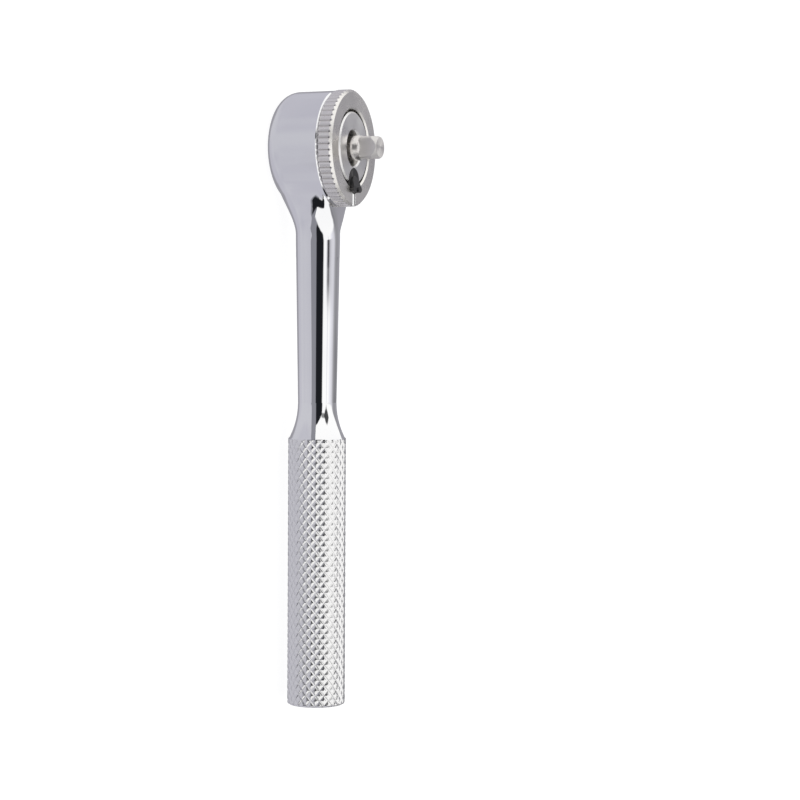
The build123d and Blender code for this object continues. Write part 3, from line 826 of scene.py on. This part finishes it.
def world_light():
    """A soft tent round the tool: lavender on the left, a dark slot in front, white panels, grey behind."""
    world = bpy.data.worlds.new("tent")
    bpy.context.scene.world = world
    world.use_nodes = True
    tree = world.node_tree
    background = tree.nodes["Background"]
    # A direction is told by its turn about the handle, 0 towards the camera, and its rise along the handle
    direction = add(tree, "ShaderNodeTexCoord").outputs["Generated"]
    _, y, _ = axes(tree, direction)
    rise = math(tree, "ARCSINE", y)
    fall = math(tree, "MULTIPLY", rise, -1.0)
    turn = math(
        tree, "ARCTAN2", part_along(tree, direction, to_right), part_along(tree, direction, to_camera)
    )
    slant = math(tree, "MINIMUM", math(tree, "MAXIMUM", fall, 0.0), slant_limit)
    slanted = share_of_round(tree, math(tree, "ADD", turn, math(tree, "MULTIPLY", slant, strip_slant)))
    round_share, rise_share = share_of_round(tree, turn), share_of_round(tree, rise)
    left = limit_by_angle(tree, rise_share, [
        (-65, -64), (-52, -61), (-45, -55.5), (-41, -53.5), (-37, -52), (-30, -49.8), (-25, -45.5),
        (-17, -43.5), (-10, -44), (-6, -40), (-3, -33), (0, -37), (2, -40), (4, -34), (6, -32), (45, -31),
    ])
    colour = strips(tree, slanted, rise)
    colour = panels(tree, colour, round_share, rise, fall)
    colour = dark_shape(tree, colour, round_share, turn, rise)
    colour = dark_card(tree, colour, rise_share, left, turn, fall)
    colour = lavender_side(tree, colour, direction, left, turn, rise, fall)
    tree.links.new(colour, background.inputs["Color"])
    background.inputs["Strength"].default_value = 1.0


def floor():
    """A wide white floor that keeps the object's soft shadow; metal sees the tent below it instead."""
    mesh = bpy.data.meshes.new("floor")
    corners = [(x * floor_size, y * floor_size, cad_low.z) for x, y in ((-1, -1), (1, -1), (1, 1), (-1, 1))]
    mesh.from_pydata(corners, [], [(0, 1, 2, 3)])
    sheet = bpy.data.objects.new("floor", mesh)
    bpy.context.scene.collection.objects.link(sheet)
    material, tree, shader, place = new_material("floor_white")
    tree.nodes.remove(shader)
    glow = add(tree, "ShaderNodeEmission")
    glow.inputs["Strength"].default_value = floor_glow
    shaded = add(tree, "ShaderNodeBsdfDiffuse")
    grain = noise(tree, place, 3.0)
    shade = varied(tree, grain, floor_shade * (1 - floor_grain), floor_shade * (1 + floor_grain))
    tree.links.new(shade, shaded.inputs["Color"])
    white_paper = add(tree, "ShaderNodeAddShader")
    tree.links.new(glow.outputs[0], white_paper.inputs[0])
    tree.links.new(shaded.outputs[0], white_paper.inputs[1])
    tree.links.new(white_paper.outputs[0], tree.nodes["Material Output"].inputs[0])
    paint(sheet, material)
    sheet.visible_glossy = False


def camera():
    """The camera across the handle, turned by its roll, yaw and pitch in that order."""
    data = bpy.data.cameras.new("camera")
    made = bpy.data.objects.new("camera", data)
    bpy.context.scene.collection.objects.link(made)
    right = cos(camera_roll) * to_right + sin(camera_roll) * Vector((0, 1, 0))
    up = cos(camera_roll) * Vector((0, 1, 0)) - sin(camera_roll) * to_right
    look = sin(camera_yaw) * right - cos(camera_yaw) * to_camera
    right = cos(camera_yaw) * right + sin(camera_yaw) * to_camera
    tilted = cos(camera_pitch) * look + sin(camera_pitch) * up
    up = cos(camera_pitch) * up - sin(camera_pitch) * look
    place = Vector((0, camera_along, axis_height)) + camera_distance * to_camera
    made.matrix_world = Matrix((
        (right.x, up.x, -tilted.x, place.x),
        (right.y, up.y, -tilted.y, place.y),
        (right.z, up.z, -tilted.z, place.z),
        (0, 0, 0, 1),
    ))
    data.lens = camera_lens
    data.clip_start, data.clip_end = camera_clip
    bpy.context.scene.camera = made


# ------------------------------------------------------------------ put together
chrome = chrome_material()
forging = knurled_forging()
paint(forging, chrome)
paint(nodes["forged_body"], chrome)
paint(nodes["spin_ring"], turned_material("turned_ring", ring_plate, 0.26, 9000.0, with_flutes))
paint(nodes["cover_disc"], turned_material("turned_cover", cover_plate, 0.3, 7000.0))
paint(nodes["drive_core"], turned_material("satin_core", core_plate, 0.26, 5000.0, with_well))
paint(nodes["reversing_lever"], black_oxide_material())
soften(nodes["reversing_lever"])
ground = ground_material("ground_steel", ground_grey, 0.25)
for name in ("thrust_washer", "ring_keys", "cover_dowels", "pawl"):
    paint(nodes[name], ground)
wire = ground_material("bright_wire", wire_grey, 0.2)
for name in ("core_circlip", "detent_spring", "socket_spring"):
    paint(nodes[name], wire)
for joint in frame["record"]["behaviour"]["joints"]:
    if "deforming_nodes" in joint:
        coil(joint, wire)
ball = ground_material("polished_ball", ball_grey, 0.08)
for name in ("detent_ball", "socket_ball"):
    paint(nodes[name], ball)
paint(nodes["grease_seal"], rubber_material())

world_light()
floor()
camera()
bpy.context.scene.view_settings.view_transform = "Standard"
